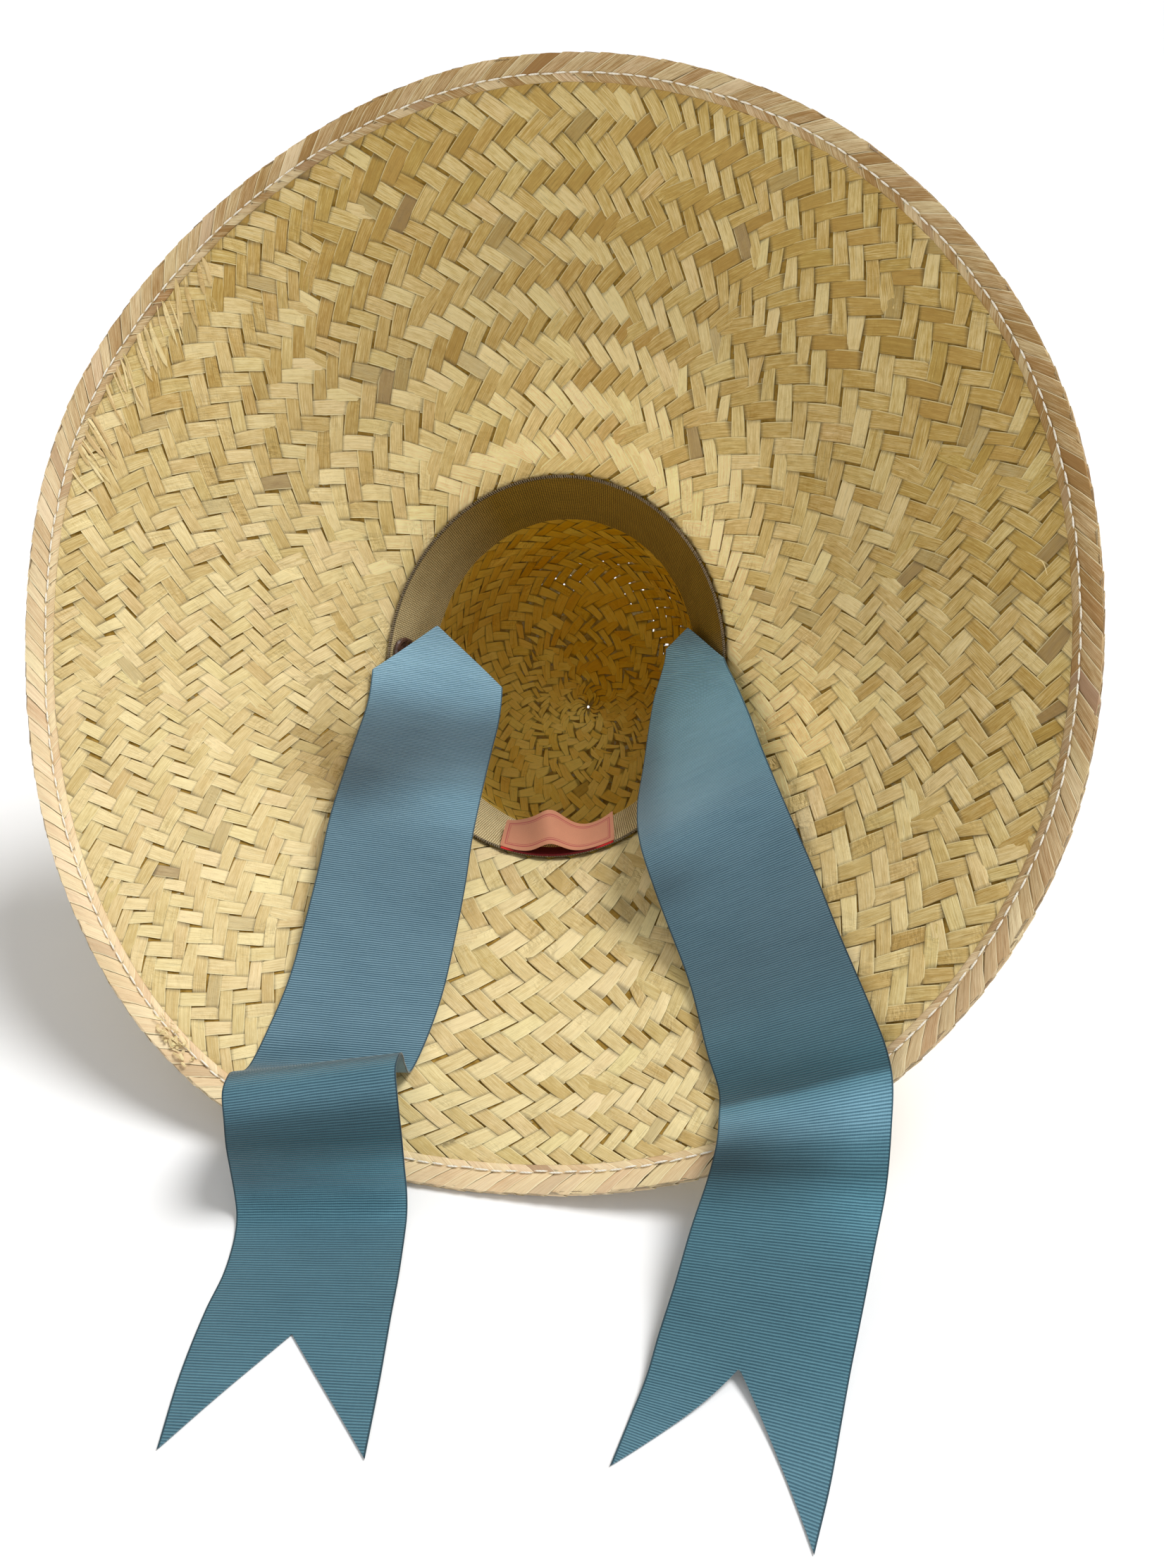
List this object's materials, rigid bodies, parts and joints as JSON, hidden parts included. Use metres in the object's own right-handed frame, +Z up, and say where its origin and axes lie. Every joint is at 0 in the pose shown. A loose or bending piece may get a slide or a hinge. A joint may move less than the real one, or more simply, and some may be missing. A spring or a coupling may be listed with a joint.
{
  "type": "sun hat",
  "caption": "Wide-brimmed woven palm-straw sun hat with wide blue grosgrain ribbon ties, lying on its side on a flat surface with its underside facing -Y.",
  "frame": {"origin": "on the surface the hat lies on, below the middle of its bounding box", "axes": "+Z up, -Y towards the side the head opening and the ribbon ends face, +X to the right of someone facing the opening"},
  "size_m": [0.4256, 0.4642, 0.3669],
  "materials": {
    "straw": "woven palm straw, satin",
    "plait": "straw plait, satin",
    "band_cloth": "ribbed cloth, matte",
    "label_cloth": "woven satin label, bare",
    "button_brown": "polished",
    "ribbon_blue": "grosgrain ribbon, soft sheen"
  },
  "bodies": {
    "root": {"straw_body": "straw", "edge_binding": "plait", "sweatband": "band_cloth", "label": "label_cloth", "button_left": "button_brown", "button_right": "button_brown", "ribbon_left": "ribbon_blue", "ribbon_right": "ribbon_blue"}
  },
  "joints": []
}
